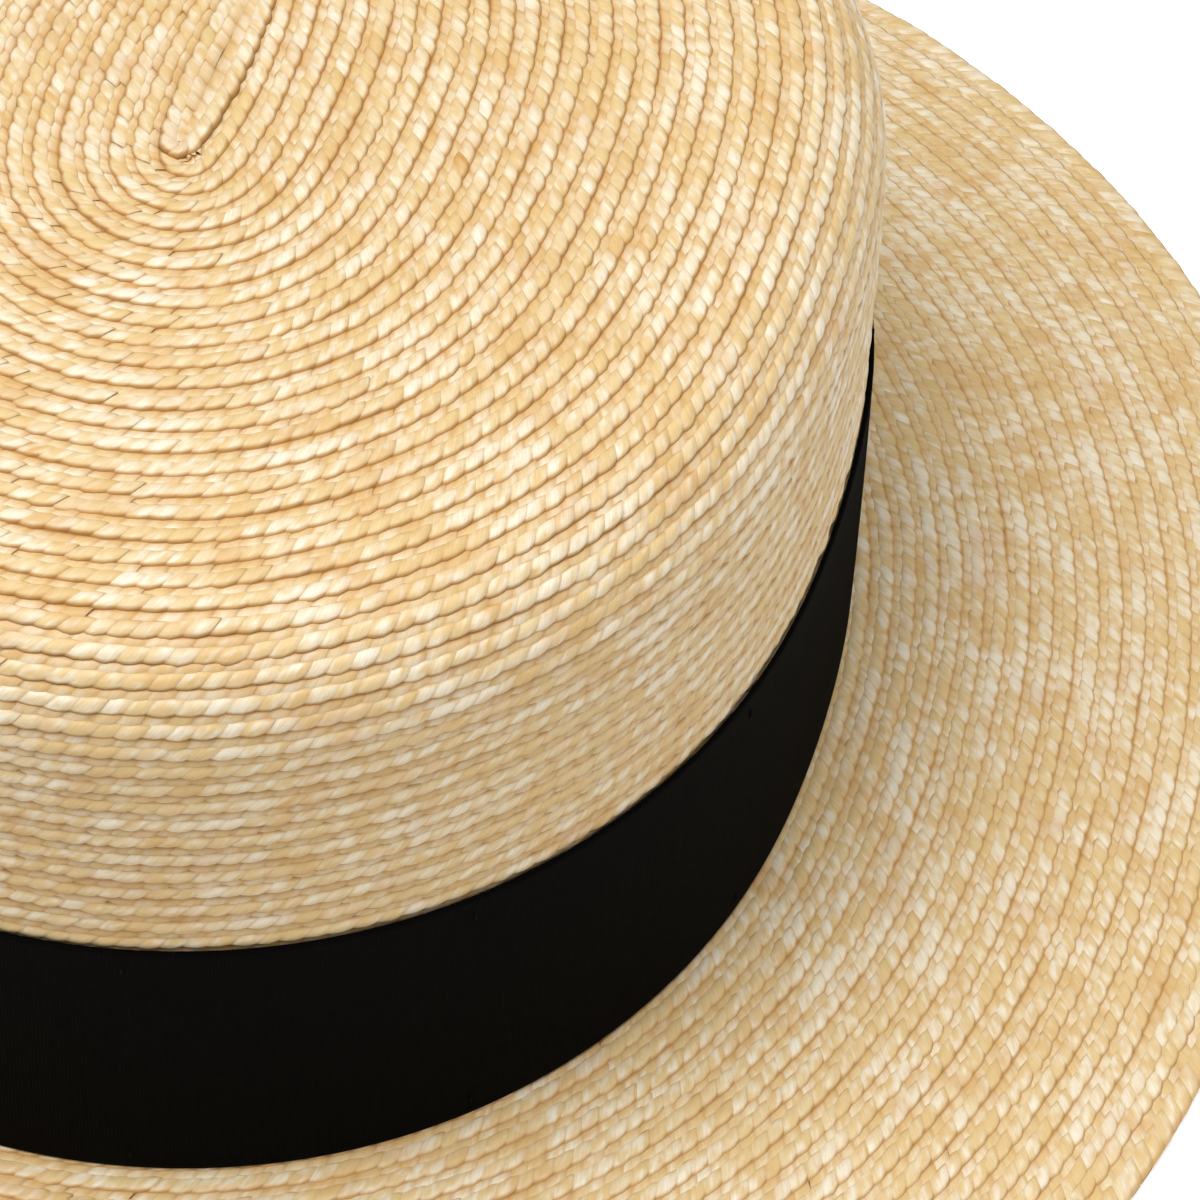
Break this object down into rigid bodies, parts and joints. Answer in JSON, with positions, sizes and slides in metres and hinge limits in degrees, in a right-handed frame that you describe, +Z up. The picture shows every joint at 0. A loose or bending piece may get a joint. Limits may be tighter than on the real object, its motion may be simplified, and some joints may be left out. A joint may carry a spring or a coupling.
{
  "type": "straw boater hat",
  "caption": "Oval straw boater with a flat-topped crown, a broad level brim, a wide dark ribbon with a flat bow and a sweatband inside; worn as a sun hat.",
  "frame": {"origin": "middle of the hat's footprint, on the level that the brim's edge row rests on", "axes": "+Z up, +Y the way the wearer faces and the oval's long way, +X the wearer's right; the bow is on the wearer's left, at -X"},
  "size_m": [0.308, 0.34, 0.1074],
  "materials": {
    "straw": "satin",
    "thread": "matte",
    "ribbon": "matte",
    "black_thread": "matte",
    "sweatband": "matte"
  },
  "bodies": {
    "root": {"plait_start": "straw", "crown_tip": "straw", "crown_shoulder": "straw", "crown_side": "straw", "brim": "straw", "brim_edge_row": "straw", "plait_tail": "straw", "crown_seam_thread": "thread", "brim_seam_thread": "thread", "ribbon_band": "ribbon", "bow_tails": "ribbon", "bow_loops": "ribbon", "bow_knot": "ribbon", "ribbon_tacks": "black_thread", "sweatband": "sweatband", "sweatband_piping": "sweatband", "sweatband_bow": "sweatband", "sweatband_stitches": "thread"}
  },
  "joints": []
}
